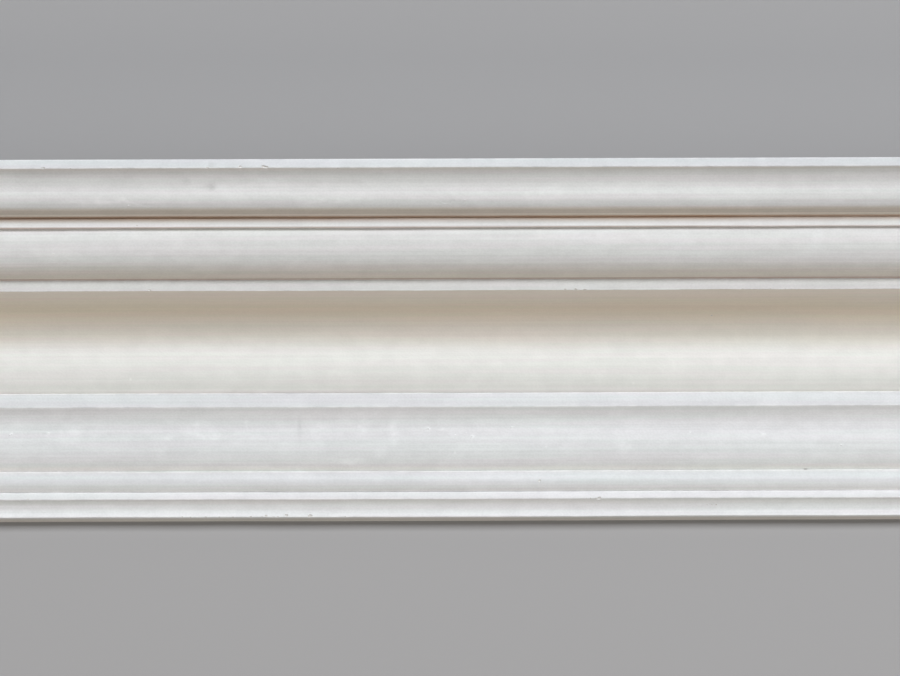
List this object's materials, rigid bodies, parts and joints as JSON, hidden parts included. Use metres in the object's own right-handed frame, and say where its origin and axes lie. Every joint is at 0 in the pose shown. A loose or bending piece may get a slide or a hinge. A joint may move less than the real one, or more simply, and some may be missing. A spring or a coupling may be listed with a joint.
{
  "type": "plaster cornice",
  "caption": "Solid plaster cornice moulding for the angle between wall and ceiling: ogee crown, quarter-round ovolo, deep cove, shallow ogee, bead and foot hollow, with fillets between.",
  "frame": {"origin": "middle of the wall face, at half the length and half the drop", "axes": "+X along the length, +Y up the wall towards the ceiling, +Z out from the wall; the piece lies on its wall face"},
  "size_m": [2.4, 0.181, 0.1001],
  "materials": {
    "plaster": "matte, unpainted cast gypsum plaster"
  },
  "bodies": {
    "root": {"cornice": "plaster"}
  },
  "joints": []
}
